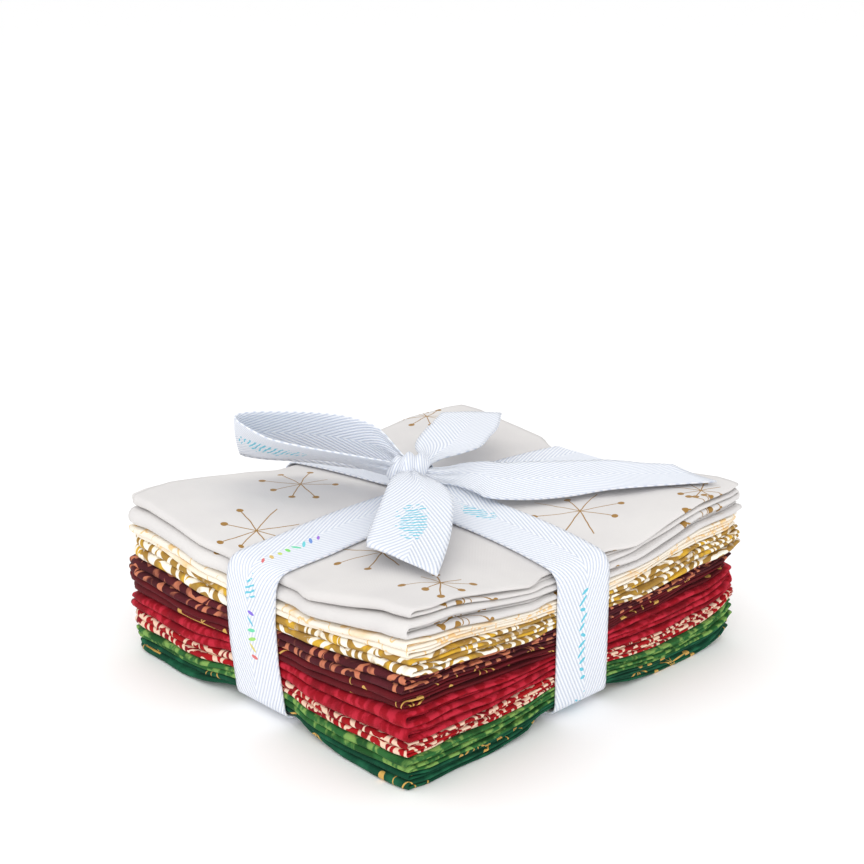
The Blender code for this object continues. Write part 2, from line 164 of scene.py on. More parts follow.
# Bow pieces, fitted to the photograph through the camera below, with their heights guessed:
# one row for each section of a strip, x, y and z of one edge and then of the other
TAIL_LONG = (
    (-5.0, -7.0, 62.0, -5.0, -4.6, 63.6),
    (3.2, -4.9, 60.8, 2.8, 0.8, 64.6),
    (8.0, 0.6, 59.4, 6.4, 6.2, 65.6),
    (14.0, 2.9, 58.4, 8.4, 14.8, 64.6),
    (21.4, 3.6, 57.6, 9.4, 21.4, 62.8),
    (28.2, 15.2, 55.9, 13.0, 31.6, 61.8),
    (35.0, 27.4, 55.8, 19.8, 45.2, 60.5),
    (41.4, 40.0, 56.7, 26.4, 58.2, 59.4),
    (51.0, 51.0, 57.8, 35.4, 66.0, 58.6),
    (64.4, 69.4, 58.2, 42.2, 73.6, 58.0),
)
TAIL_BACK = (
    (-7.4, -4.6, 63.6, -2.6, -3.4, 63.8),
    (-9.4, 0.9, 65.3, -1.0, 3.0, 65.9),
    (-14.0, 3.4, 66.4, 1.2, 9.8, 66.8),
    (-18.6, 8.2, 67.0, 1.2, 19.6, 67.2),
    (-25.6, 18.6, 67.0, -5.2, 31.0, 67.0),
    (-32.8, 30.2, 66.4, -12.6, 43.0, 66.4),
    (-41.0, 42.2, 65.6, -25.6, 58.4, 65.4),
)
LOOP_FRONT = (
    (-7.0, -6.8, 64.0, -4.0, -6.4, 64.0),
    (-4.6, -10.8, 64.4, 1.2, -9.4, 64.4),
    (-1.4, -19.4, 64.0, 13.6, -11.0, 63.9),
    (6.2, -29.6, 63.0, 25.0, -17.0, 63.0),
    (13.0, -38.2, 62.1, 34.0, -26.0, 61.9),
    (18.4, -45.0, 61.5, 42.4, -35.2, 60.9),
    (23.0, -50.6, 60.9, 50.0, -44.6, 60.2),
    (26.4, -54.6, 60.5, 56.2, -52.6, 59.8),
    (27.9, -56.4, 60.1, 58.6, -56.0, 59.5),
    (28.6, -57.0, 59.4, 59.6, -57.6, 58.8),
    (27.9, -56.6, 58.7, 58.6, -56.6, 58.1),
    (26.4, -55.2, 58.3, 56.2, -54.0, 57.7),
    (22.0, -51.2, 57.8, 49.6, -46.6, 57.2),
    (15.2, -44.2, 57.4, 39.6, -36.0, 57.1),
    (8.6, -35.4, 57.3, 29.4, -24.2, 57.2),
    (2.4, -24.8, 57.8, 19.4, -14.6, 57.7),
    (-4.0, -11.2, 59.6, 2.6, -9.0, 59.6),
    (-6.0, -6.8, 61.0, -3.6, -6.0, 61.0),
)

# The loop on its side, along and across its own line from the knot
LOOP_HEADING = math.radians(226.0)
LOOP_OUT = np.array([math.cos(LOOP_HEADING), math.sin(LOOP_HEADING), 0.0])
LOOP_SIDEWAYS = np.array([-LOOP_OUT[1], LOOP_OUT[0], 0.0])
LOOP_COLUMNS = ("out", "low_side", "low", "high_side", "high")
LOOP_SIDE = (
    (1.0, 0.4, 61.6, 1.0, 64.6),
    (6.5, 1.8, 61.0, 2.8, 66.2),
    (16.0, -3.5, 61.4, 8.0, 69.6),
    (26.0, -9.0, 62.6, 11.0, 72.4),
    (38.5, -9.5, 63.8, 11.8, 75.0),
    (49.0, -9.5, 63.8, 9.5, 76.8),
    (56.0, -10.5, 64.2, 5.0, 78.8),
    (60.5, -12.6, 64.6, 0.0, 80.0),
    (62.0, -15.5, 63.4, -4.5, 80.4),
    (60.0, -18.0, 61.8, -8.5, 80.4),
    (54.0, -20.0, 60.2, -11.0, 80.1),
    (46.0, -21.5, 59.2, -12.2, 79.7),
    (36.0, -20.5, 58.6, -12.2, 79.4),
    (24.0, -15.5, 58.6, -10.2, 78.4),
    (14.0, -9.5, 60.0, -6.8, 75.4),
    (6.0, -2.8, 61.6, -2.8, 67.6),
    (1.0, -0.8, 62.0, -0.8, 64.4),
)

KNOT_AT = (-4.0, -4.0, 62.6)
KNOT_SHIFT = 3.2
KNOT_HALF = 6.3
KNOT_DEEP = 5.7
KNOT_TALL = 5.6
STRIP_STEPS = 4
STRIP_ACROSS = 14

# Threads and prints
WEAVE = 0.66
RIB = 1.25
RIB_SLOPE = 2.0
RIB_ZONE = 13.5
RIBBON_YARN = 0.8
MARK_REPEAT = 96.0
MARK_PITCH = 2.9
INK_LINE = 0.42
INK_DOT = 2.4
STROKE_PITCH = 0.95
STROKE_THIN = 0.36
DAB_THIN = 0.62
BURST_ARMS = 8
COTTON_ROUGH = 0.85
INK_ROUGH = 0.45

# Bursts on the top face of the white fabric: centre, a number that turns it, length of its arms.
# The centres lie near those of the photograph, and the arms are drawn from random numbers.
BURST_COLUMNS = ("x", "y", "seed", "reach")
BURSTS = (
    (-42.0, -25.0, 0.3, 17.0),
    (-20.0, -61.0, 1.4, 18.0),
    (-62.0, 56.0, 2.7, 13.0),
    (59.5, -56.0, 0.9, 13.0),
    (43.0, 24.0, 3.6, 18.0),
    (-60.0, 4.0, 5.2, 13.0),
    (23.5, -46.0, 6.3, 16.0),
    (2.0, 70.0, 7.7, 13.0),
    (62.0, 62.0, 8.4, 12.0),
)

# How each cotton is printed. base, shade: the two tones of its ground, and ink: what is over them.
# clouds: size of the shade's patches, where they start and end, and how they are stretched.
# scroll: size, pitch, start and end of its scrollwork. patches: size, start and end of the places
# that take the ink. bursts: how far apart they lie and their reach, or those of the table above.
PRINT_COLUMNS = ("base", "shade", "ink", "clouds", "scroll", "patches", "bursts")
PRINTS = {
    "dark_green": ("pine", "light_pine", "bright_ink", (7.0, 0.42, 0.68), None, None, (30.0, 12.0)),
    "green": ("green", "light_green", "deep_green", (3.6, 0.47, 0.57, 0.8), None, (8.0, 0.52, 0.64), None),
    "red_scroll": ("scroll_red", "deep_red", "beige", (9.0, 0.4, 0.7), (10.0, 3.4, 0.1, 0.4), None, None),
    "red": ("red", "bright_red", "deep_red", (3.2, 0.46, 0.57, 0.8), None, (11.0, 0.5, 0.68), None),
    "maroon": ("maroon", "maroon_shade", "bright_ink", (10.0, 0.3, 0.7), None, None, (34.0, 13.0)),
    "brown": (
        "brown", "brown_shade", "salmon", (8.0, 0.35, 0.65), (15.0, 4.4, 0.3, 0.6),
        (12.0, 0.42, 0.52), None,
    ),
    "gold": (
        "gold", "yellow", "ivory", (9.0, 0.5, 0.62), (16.0, 3.5, 0.0, 0.4), (14.0, 0.38, 0.46), None,
    ),
    "cream": ("cream", "tan", "tan", (18.0, 0.5, 0.72), (13.0, 9.0, 0.86, 0.98), None, None),
    "white": ("white", "white_shade", "ink", (26.0, 0.3, 0.75), None, None, "table"),
}

# The view of the photograph, fitted to the corners of the stack
CAMERA_AT = (0.3655, -0.3552, 0.2331)
CAMERA_TURN = math.radians(46.0)
CAMERA_TILT = math.radians(17.1)
CAMERA_LENS = 66.67


def linear(code):
    """An sRGB hex colour as linear red, green, blue and alpha."""
    shares = [int(code[k : k + 2], 16) / 255 for k in (0, 2, 4)]
    return [c / 12.92 if c <= 0.04045 else ((c + 0.055) / 1.055) ** 2.4 for c in shares] + [1.0]


def size_setting(name, description, default):
    return bpy.props.FloatProperty(
        name=name, description=description, default=default, min=0.0, unit="LENGTH", precision=5
    )


def colour_setting(name, code):
    return bpy.props.FloatVectorProperty(
        name=name, description=f"Colour of the {name.lower()}", subtype="COLOR", size=4,
        min=0.0, max=1.0, default=linear(code)
    )


class BundleSizes(bpy.types.PropertyGroup):
    half_x: size_setting("Half width", "Half of the stack's size along X", 70.0 * MM)
    half_y: size_setting("Half depth", "Half of the stack's size along Y", 78.5 * MM)
    stack_top: size_setting("Stack height", "Height of the stack at its corners", 57.0 * MM)
    cloth: size_setting("Cloth thickness", "Thickness of one layer of quilting cotton", 0.24 * MM)
    ribbon_width: size_setting("Ribbon width", "Width of the twill ribbon", 24.0 * MM)
    ribbon_thick: size_setting("Ribbon thickness", "Thickness of the twill ribbon", 0.55 * MM)


class BundleColours(bpy.types.PropertyGroup):
    floor: colour_setting("Floor", "FFFFFF")
    ribbon: colour_setting("Ribbon", "EEF1F7")
    aqua: colour_setting("Pale marks", "62C6DC")
    ink: colour_setting("Gold print", "9C7434")
    bright_ink: colour_setting("Bright gold print", "D2A657")
    # Painted shade: the darker, bluish tone laid into the grooves between the twill's ridges stands in for
    # the shade that falls in them
    ribbon_painted_groove_shade: colour_setting("Ribbon between its ridges", "CCD4E4")
    ivory: colour_setting("Ivory print", "FAF5E8")
    white: colour_setting("White cotton", "DCD9D7")
    white_shade: colour_setting("White cotton, shaded", "D5D2D1")
    brown_shade: colour_setting("Brown cotton, shaded", "44141B")
    maroon_shade: colour_setting("Maroon cotton, shaded", "540E16")
    deep_red: colour_setting("Deep red print", "7E0718")
    deep_green: colour_setting("Deep green print", "1E4F23")
    cream: colour_setting("Cream cotton", "F2EADC")
    tan: colour_setting("Tan print", "EFCB93")
    gold: colour_setting("Gold cotton", "A5803C")
    yellow: colour_setting("Yellow print", "D8AC38")
    brown: colour_setting("Brown cotton", "561C24")
    salmon: colour_setting("Salmon print", "C87A5C")
    maroon: colour_setting("Maroon cotton", "66121B")
    red: colour_setting("Red cotton", "96061A")
    bright_red: colour_setting("Bright red print", "BC2438")
    scroll_red: colour_setting("Scroll red cotton", "A81016")
    beige: colour_setting("Beige print", "EBCDB4")
    green: colour_setting("Green cotton", "2E6632")
    light_green: colour_setting("Light green print", "7FA656")
    pine: colour_setting("Dark green cotton", "0B442F")
    light_pine: colour_setting("Dark green print", "1E6344")


def rows_of(columns, table):
    return [dict(zip(columns, row)) for row in table]


def soften(share):
    share = np.clip(share, 0.0, 1.0)
    return share * share * (3.0 - 2.0 * share)


def fade(distance, reach):
    """1 under the ribbon, falling almost straight to 0 at reach beyond its groove."""
    share = np.clip((np.abs(distance) - GROOVE_HALF) / reach, 0.0, 1.0)
    return 1.0 - STRAIGHT * share - (1.0 - STRAIGHT) * soften(share)


def press(along, half, low_edge, high_edge):
    edge = np.where(along > 0, high_edge, low_edge)
    return PRESS_MIDDLE + (edge - PRESS_MIDDLE) * np.minimum(1.0, np.abs(along) / half) ** 3


def creases(x, y):
    """The soft troughs and ridges of the top face, each fading towards its ends."""
    total = 0.0
    for row in rows_of(CREASE_COLUMNS, CREASES):
        run_x = row["bx"] - row["ax"]
        run_y = row["by"] - row["ay"]
        length = math.hypot(run_x, run_y)
        along = ((x - row["ax"]) * run_x + (y - row["ay"]) * run_y) / length**2
        beside = ((x - row["ax"]) * run_y - (y - row["ay"]) * run_x) / length
        ends = soften(along / 0.25 + 0.2) * soften((1.15 - along) / 0.35)
        total = total + row["height"] * np.exp(-((beside / row["wide"]) ** 2)) * ends
    return total


def ripple(along, seed):
    """An uneven edge: three waves of a folded cloth, from long to short."""
    long_wave = 0.55 * np.sin(along / 17.0 + 2.3 * seed)
    short_wave = 0.28 * np.sin(along / 7.1 + 4.1 * seed)
    return long_wave + short_wave + 0.14 * np.sin(along / 3.1 + 1.7 * seed)


class Stack:
    """Heights and edges of the stack, in mm, for arrays of places."""

    def __init__(self, sizes):
        self.half_x = sizes.half_x / MM
        self.half_y = sizes.half_y / MM
        self.top = sizes.stack_top / MM
        self.fabrics = rows_of(FABRIC_COLUMNS, FABRICS)
        heights = [[0.0] * 4] + [[row[corner] for corner in CORNERS] for row in self.fabrics]
        reached = np.cumsum(heights, axis=0)
        self.shares = reached / reached[-1]

    def pressed(self, x, y):
        """The top face without its creases: drawn down under the two bands."""
        reach = GROOVE_REACH - GROOVE_HALF
        under_y = fade(x - RIBBON_X, reach)
        under_x = fade(y - RIBBON_Y, reach)
        deep_y = press(y, self.half_y, PRESS_FRONT, PRESS_BACK)
        deep_x = press(x, self.half_x, PRESS_LEFT, PRESS_RIGHT)
        return self.top - deep_y * under_y - deep_x * under_x + PRESS_MIDDLE * under_y * under_x

    def underside(self, x, y):
        over_y = np.interp(y, LIFT_AT_Y, LIFT_ALONG_Y) * fade(x - RIBBON_X, LIFT_REACH)
        over_x = np.interp(x, LIFT_AT_X, LIFT_ALONG_X) * fade(y - RIBBON_Y, LIFT_REACH)
        curl = CURL * soften((x - CURL_X) / CURL_REACH) * soften((y - CURL_Y) / CURL_REACH)
        return np.maximum(over_y, over_x) + curl

    def share(self, k, x, y):
        """The share of the stack's height under fabric k, mixed from those at its four corners."""
        near, left, right, far = self.shares[k]
        east = 0.5 + 0.5 * x / self.half_x
        back = 0.5 + 0.5 * y / self.half_y
        at_front = near * east + left * (1 - east)
        at_back = right * east + far * (1 - east)
        return at_front * (1 - back) + at_back * back

    def level(self, k, x, y):
        """The face under fabric k, or the top face where k is the number of fabrics."""
        low = self.underside(x, y)
        high = self.pressed(x, y)
        place = low + (high - low) * self.share(k, x, y)
        if k == 0:
            return place
        if k == len(self.fabrics):
            return place + creases(x, y)
        phase = 0.8 * k
        swell = 0.45 * np.sin(x / 21.0 + phase) * np.cos(y / 27.0 - phase)
        near_edge = soften((np.abs(y) - 50.0) / 28.0) + soften((np.abs(x) - 42.0) / 28.0)
        wave = 0.35 * np.sin(x / 9.0 + 1.9 * k) * np.cos(y / 11.0 + 1.3 * k)
        return place + swell + near_edge * wave

    def layers(self, k, x, y):
        """Heights of the twelve layers of fabric k, from the lowest up."""
        low = self.level(k, x, y) + PIECE_GAP / 2
        high = self.level(k + 1, x, y) - PIECE_GAP / 2
        upper = self.fabrics[k]["upper"]
        slots = []
        for layer in range(LAYERS):
            share = (1.0 - upper if layer < LAYERS / 2 else upper) / (LAYERS / 2)
            wave = np.sin(x / 19.0 + 1.9 * layer + k) * np.cos(y / 23.0 - 1.3 * layer + 2 * k)
            slots.append(share * (1.0 + LAYER_UNEVEN * wave))
        slots = np.stack(slots)
        ends = np.cumsum(slots, axis=0)
        places = ends - slots / 2
        opened = soften((np.abs(x) - self.half_x + OPEN_REACH) / OPEN_REACH)
        for band in range(BANDS):
            ceiling = ends[band * PLIES + PLIES - 1]
            floor = ceiling - slots[band * PLIES : (band + 1) * PLIES].sum(axis=0)
            for ply in range(PLIES):
                apart = np.where(x > 0, OPEN_EAST[ply], OPEN_WEST[ply])
                rank = ply
                if band % 2 == 1:
                    apart = 1.0 - apart
                    rank = PLIES - 1 - ply
                layer = band * PLIES + rank
                goal = floor + (ceiling - floor) * apart
                places[layer] = places[layer] + (goal - places[layer]) * opened
        return low + (high - low) * places / ends[-1]

    def tuck(self, row, table, band):
        """How far the top and bottom fabrics draw in under the ribbon's bends."""
        if row is self.fabrics[-1]:
            return np.interp(band, range(BANDS), table)
        if row is self.fabrics[0]:
            return np.interp(band, range(BANDS), table[::-1])
        return 0.0

    def side_edge(self, row, side, band, fold, y):
        """X of a side edge. fold: 1 at a folded edge, 0 at a cut one, which lies further in."""
        pair = band // 2
        turned = np.where(row["step"] > 0, pair, 1 - pair)
        step = 0.6 * abs(row["step"]) * turned
        stand = row["east" if side > 0 else "west"]
        seed = row["turn"] + 1.3 * band + 0.9 * fold
        slip = 0.6 * np.abs(np.sin(2.1 * band + 3.7 * fold + row["turn"]))
        loose = self.half_x + stand - step + row["loose"] * ripple(y, seed) - slip
        loose = loose - CORNER_IN * soften((np.abs(y) - CORNER_FROM_Y) / CORNER_REACH)
        held = 1.0 - soften((np.abs(y - RIBBON_Y) - GROOVE_HALF) / HELD_REACH)
        face = FACE_SIDE - self.tuck(row, TUCK_SIDE, band)
        return side * (loose + (face - loose) * held - CUT_BACK * (1 - fold))

    def end_edge(self, row, side, pair, x, inset, tier):
        """Y of the front or back edge of a roll, drawn in where the ribbon lies on it.

        tier: the band whose height the roll or the cut end has; 1.5 lies between two.
        """
        turned = np.where(row["step"] > 0, pair, 1 - pair)
        stand = row["front" if side < 0 else "back"]
        seed = 2.3 * row["turn"] + pair + (1.6 if side > 0 else 0.0)
        loose = self.half_y + stand - abs(row["step"]) * turned - inset
        loose = loose + row["loose"] * ripple(x, seed)
        loose = loose - CORNER_IN * soften((np.abs(x) - CORNER_FROM_X) / CORNER_REACH)
        lean = HELD_LEAN if side < 0 else 0.0
        beyond = np.abs(x - RIBBON_X + lean) - GROOVE_HALF - lean
        held = 1.0 - soften(beyond / HELD_REACH)
        face = FACE_FRONT - self.tuck(row, TUCK_END, tier)
        return side * (loose + (face - loose) * held)


def span_stops(inside, step):
    """Stops over one ply: (place, side, share of the way from the inner lines to the edge)."""
    count = round(2 * inside / step)
    stops = [(-inside, -1, 1.0 - k / EDGE_STEPS) for k in range(EDGE_STEPS)]
    stops += [(-inside + 2 * inside * k / count, 0, 0.0) for k in range(count + 1)]
    stops += [(inside, 1, (k + 1) / EDGE_STEPS) for k in range(EDGE_STEPS)]
    return stops


def trip(spans, inside, step, turns):
    """One trip along a back-and-forth fold: (span, place, side, share, turned) for each line."""
    stops = []
    for span in range(spans):
        flat = span_stops(inside, step)
        if span % 2 == 1:
            flat = flat[::-1]
        stops += [(span, *stop, 0.0) for stop in flat]
        if span < spans - 1:
            side = 1 if span % 2 == 0 else -1
            stops += [(span, side * inside, side, 1.0, (k + 1) / turns) for k in range(turns - 1)]
    return [np.array(column) for column in zip(*stops)]


def folded_sheet(stack, k, step):
    """Places (across, along, 3) of one fabric folded in three along X and in four along Y.

    The first band runs from the back to the front, so Y is taken with its sign turned.
    """
    row = stack.fabrics[k]
    ply, at_x, side_x, share_x, turn_x = (
        column[:, None] for column in trip(PLIES, INSIDE_X, step, EDGE_TURN_STEPS)
    )
    band, at_y, side_y, share_y, turn_y = (
        column[None, :] for column in trip(BANDS, INSIDE_Y, step, TURN_STEPS)
    )
    at_y = -at_y
    side_y = -side_y
    rough_y = at_y + side_y * share_y * (stack.half_y - INSIDE_Y)

    # X: a cut edge where a ply starts or ends the trip, a folded one where it turns
    cut = ((ply == 0) & (side_x < 0)) | ((ply == PLIES - 1) & (side_x > 0))
    sign = np.where(side_x == 0, 1, side_x)
    edges = [
        np.where(
            sign > 0,
            stack.side_edge(row, 1, here, np.where(cut, 0, 1), rough_y),
            stack.side_edge(row, -1, here, np.where(cut, 0, 1), rough_y),
        )
        for here in (band, np.minimum(band + 1, BANDS - 1))
    ]
    part = (1.0 - np.cos(math.pi * turn_y)) / 2
    edge_x = edges[0] + (edges[1] - edges[0]) * part
    room = stack.level(k + 1, edge_x, rough_y) - stack.level(k, edge_x, rough_y) - PIECE_GAP
    tall_band = room / 2 * np.where(band < 2, 1.0 - row["upper"], row["upper"])
    radius_x = np.where(cut, 0.0, tall_band * OPEN_SHARE / 2)
    x = at_x + share_x * (edge_x - sign * radius_x - at_x)
    x = x + sign * radius_x * 1.2 * np.sin(math.pi * turn_x)

    def path(which):
        """Y and height along the bands for one ply."""
        at_back = side_y > 0
        pair = np.where(at_back, 0, band // 2)
        raw = at_back & ((band == 0) | (band == BANDS - 1))
        inset = np.where(raw, 0.5 + 0.5 * np.abs(np.sin(1.7 * band + 2.9 * which)), 0.0)
        tier = np.where(at_back, np.where(raw, band, 1.5), 1.0 + band // 2)
        edge = np.where(
            at_back,
            stack.end_edge(row, 1, pair, x, inset, tier),
            stack.end_edge(row, -1, pair, x, inset, tier),
        )
        upper = np.where(pair == 0, 1.0 - row["upper"], row["upper"])
        upper = np.where(at_back, 0.5, upper)
        tall = stack.level(k + 1, x, edge) - stack.level(k, x, edge) - PIECE_GAP
        slot = tall * upper / (LAYERS / 2)
        rank = np.where(at_back, which, PLIES - 1 - which)
        outer = slot * (PLIES - 0.5) * ROLL_DEPTH
        own = slot * (rank + 0.5) * ROLL_DEPTH
        centre = np.where(raw, edge, edge - side_y * outer)
        y = at_y + share_y * (centre - at_y)
        y = y + side_y * own * np.sin(math.pi * turn_y) * (turn_y > 0)
        heights = stack.layers(k, x, y)

        def height_in(which_band):
            turned = np.where(which_band % 2 == 0, which, PLIES - 1 - which)
            layer = np.broadcast_to(PLIES * which_band + turned, y.shape)
            return np.take_along_axis(heights, layer[None].astype(int), axis=0)[0]

        here = height_in(band)
        following = height_in(np.minimum(band + 1, BANDS - 1))
        return y, here + (following - here) * part

    near_y, near_z = path(ply)
    far_y, far_z = path(np.minimum(ply + 1, PLIES - 1))
    across = (1.0 - np.cos(math.pi * turn_x)) / 2
    y = near_y + (far_y - near_y) * across
    z = near_z + (far_z - near_z) * across
    return np.stack([np.broadcast_to(x, y.shape), y, z], axis=-1)


def flat_lengths(places):
    """Flat position of each grid line along both sides of the sheet, from its own lengths."""
    result = []
    for turned in (places, places.transpose(1, 0, 2)):
        steps = np.linalg.norm(np.diff(turned, axis=0), axis=-1)
        result.append(np.concatenate([[0.0], np.cumsum(np.median(steps, axis=1))]))
    return result


def burst_centres(places, flat):
    """The bursts of the table, as places on the flat cut: the top face is its last band."""
    across, along = places.shape[:2]
    ply = slice(0, across // PLIES)
    band = slice(along - along // BANDS, along)
    return [
        (
            float(np.interp(row["x"], places[ply, -along // 8, 0], flat[0][ply])),
            float(np.interp(row["y"], places[across // 6, band, 1], flat[1][band])),
            row["seed"],
            row["reach"],
        )
        for row in rows_of(BURST_COLUMNS, BURSTS)
    ]


def grid_object(name, places, flat, thick):
    """A sheet: a grid whose points move to their places, with its flat cut as UV map, in metres."""
    across, along = places.shape[:2]
    build = bmesh.new()
    bmesh.ops.create_grid(build, x_segments=across - 1, y_segments=along - 1, size=1.0)
    if len(build.verts) != across * along:
        raise RuntimeError(f"{name}: the grid has {len(build.verts)} points")
    uv = build.loops.layers.uv.new("Flat")
    flat_at = {}
    for vert in build.verts:
        i = round((vert.co.x + 1) / 2 * (across - 1))
        j = round((vert.co.y + 1) / 2 * (along - 1))
        vert.co = places[i, j] * MM
        flat_at[vert] = (flat[0][i] * MM, flat[1][j] * MM)
    for face in build.faces:
        face.smooth = True
        for loop in face.loops:
            loop[uv].uv = flat_at[loop.vert]
    mesh = bpy.data.meshes.new(name)
    build.to_mesh(mesh)
    build.free()
    obj = bpy.data.objects.new(name, mesh)
    bpy.context.scene.collection.objects.link(obj)
    solid = obj.modifiers.new("Cloth", "SOLIDIFY")
    solid.thickness = thick
    solid.offset = 0.0
    solid.use_even_offset = False
    return obj


def smooth_rows(rows, steps):
    """A smooth curve through every row of numbers, steps points from each row to the next."""
    rows = np.asarray(rows, float)
    padded = np.concatenate([rows[:1], rows, rows[-1:]])
    result = []
    for k in range(len(rows) - 1):
        p0, p1, p2, p3 = padded[k : k + 4]
        for t in np.arange(steps) / steps:
            a = 2 * p0 - 5 * p1 + 4 * p2 - p3
            b = 3 * p1 - p0 - 3 * p2 + p3
            result.append(p1 + ((p2 - p0) * t + a * t * t + b * t**3) / 2)
    return np.array(result + [rows[-1]])


def strip_places(edges, crown, gather):
    """Places (along, across, 3) of a ribbon between two edges, crowned, with pleats at the knot.

    gather: height of the pleats at each section, or 0 where the ribbon lies open.
    """
    first, second = edges[:, :3], edges[:, 3:]
    share = np.linspace(0.0, 1.0, STRIP_ACROSS + 1)
    places = first[:, None] + (second - first)[:, None] * share[None, :, None]
    middle = (first + second) / 2
    along = np.gradient(middle, axis=0)
    up = np.cross(second - first, along)
    up = up / np.linalg.norm(up, axis=1, keepdims=True)
    bulge = crown[:, None] * np.sin(math.pi * share)[None, :]
    pleats = gather[:, None] * np.sin(5 * math.pi * share + 0.6)[None, :]
    pleats = pleats * np.sin(math.pi * share)[None, :] ** 0.5
    return places + up[:, None] * (bulge + pleats)[:, :, None]


def add_strip(context, name, node, places, start, material):
    """Adds one piece of ribbon. start: where it begins in the ribbon's printed repeat."""
    sizes = context.scene.bundle_sizes
    width = sizes.ribbon_width / MM
    along = np.linalg.norm(np.diff(places.mean(axis=1), axis=0), axis=1)
    flat_along = start + np.concatenate([[0.0], np.cumsum(along)])
    flat = (np.linspace(0.0, width, places.shape[1]), flat_along)
    obj = grid_object(name, places.transpose(1, 0, 2), flat, sizes.ribbon_thick)
    obj.data.materials.append(material)
    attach(obj, "root")
    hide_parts(node)


def gathering(count, near, strength):
    """Pleats that fade from the first section to section near."""
    return strength * (1.0 - soften(np.arange(count) / near))


def loop_edges():
    """The side loop's table turned into places in the stack's frame."""
    edges = []
    for row in rows_of(LOOP_COLUMNS, LOOP_SIDE):
        base = np.array([KNOT_AT[0], KNOT_AT[1], 0.0]) + LOOP_OUT * row["out"]
        low = base + LOOP_SIDEWAYS * row["low_side"] + [0, 0, row["low"]]
        high = base + LOOP_SIDEWAYS * row["high_side"] + [0, 0, row["high"]]
        edges.append([*low, *high])
    return edges


def even_rows(path):
    """The path with its points BAND_STEP mm apart, and its corners eased."""
    steps = np.linalg.norm(np.diff(path, axis=0), axis=1)
    reached = np.concatenate([[0.0], np.cumsum(steps)])
    along = np.linspace(0.0, reached[-1], round(reached[-1] / BAND_STEP))
    even = np.stack([np.interp(along, reached, path[:, k]) for k in (0, 1)], axis=1)
    for _ in range(3):
        even[1:-1] = (even[:-2] + even[1:-1] + even[2:]) / 3
    return even


def corner_down(face, high, sign):
    """The ribbon's bend from the top over the edge of the stack: (out, height)."""
    angles = np.linspace(0.0, math.pi / 2, 8)
    return [
        (sign * (face - BEND * (1 - math.sin(a))), high - BEND * (1 - math.cos(a)))
        for a in angles
    ]


def corner_under(face, low, sign):
    """The ribbon's bend under the edge of the stack: (out, height)."""
    bend = ((0.0, 3.0), (0.1, 1.4), (0.7, 0.35), (2.0, -0.1), (4.0, -0.4))
    return [(sign * (face - back), low + drop) for back, drop in bend]


def long_band_path(stack, rise):
    """The band along Y, from its end under the stack, up the front, over and back: (y, z)."""
    face = FACE_FRONT + rise
    low = LIFT_ALONG_Y[0] - rise
    tops = [stack.pressed(RIBBON_X, sign * (face - BEND)) + rise for sign in (-1, 1)]
    path = [(RIBBON_Y - 0.6, 1.9), (-17.0, 1.9), (-32.0, 0.7), (-52.0, 0.8)]
    path += corner_under(face, low, -1)[::-1]
    path += [(-face, z) for z in FACE_STOPS]
    path += corner_down(face, tops[0], -1)[::-1]
    path += [(y, float(stack.pressed(RIBBON_X, y)) + rise) for y in np.linspace(-70, 70, 36)]
    path += corner_down(face, tops[1], 1)
    path += [(face, z) for z in FACE_STOPS[::-1]]
    path += corner_under(face, low, 1)
    path += [(52.0, 0.8), (32.0, 0.7), (17.0, 1.9), (RIBBON_Y + 0.6, 1.9)]
    return np.array(path, float)


def cross_band_path(stack, rise):
    """The band along X, from the left of the knot, down, under and up to its right: (x, z)."""
    face = FACE_SIDE + rise
    low = LIFT_ALONG_X[0] - rise
    over = rise + 1.0
    tops = [stack.pressed(sign * (face - BEND), RIBBON_Y) + rise for sign in (-1, 1)]

    def top(x, lift):
        return (x, float(stack.pressed(x, RIBBON_Y)) + lift)

    path = [(-3.0, 61.5), top(-8.5, over + 1.3), top(-13.0, over + 0.4), top(-18.5, rise + 0.2)]
    path += [top(x, rise) for x in np.linspace(-24, -62, 12)]
    path += corner_down(face, tops[0], -1)
    path += [(-face, z) for z in FACE_STOPS[::-1]]
    path += corner_under(face, low, -1)
    path += [(x, 0.55) for x in (-48.0, -20.0, 20.0, 48.0)]
    path += corner_under(face, low, 1)[::-1]
    path += [(face, z) for z in FACE_STOPS]
    path += corner_down(face, tops[1], 1)[::-1]
    path += [top(x, rise) for x in np.linspace(60, 26, 11)]
    path += [top(20.5, rise + 0.2), top(15.0, over + 0.2), top(9.0, over + 0.9), (1.0, 61.2)]
    return np.array(path, float)


def wander(y, z):
    """How far the band along Y strays from its line on the front face, in mm."""
    on_front = soften((-y - 55.0) / 22.0)
    return on_front * np.interp(z, LEAN_AT, LEAN)


def knot_places():
    """The wrap of the knot: a gathered band that goes once round the roots of the loops."""
    around = np.linspace(0.0, 2 * math.pi, 49)[:, None]
    share = np.linspace(-1.0, 1.0, 37)[None, :]
    up = np.array([0.0, 0.0, 1.0])
    half = KNOT_HALF + 0.5 * np.sin(around + 0.8)
    barrel = np.sqrt(np.clip(1.0 - (0.985 * share) ** 2, 0.0, 1.0)) ** 0.6
    pleat = 0.7 * np.sin(10.0 * share + 1.5 * np.sin(around + 0.5)) * (1.0 - share**4)
    lean = 1.3 * np.sin(around)
    centre = np.array(KNOT_AT) + LOOP_OUT * KNOT_SHIFT
    places = centre + LOOP_OUT * ((half * share + lean)[..., None])
    places = places + LOOP_SIDEWAYS * ((KNOT_DEEP + pleat) * barrel * np.sin(around))[..., None]
    return places + up * ((KNOT_TALL + pleat) * barrel * np.cos(around))[..., None]


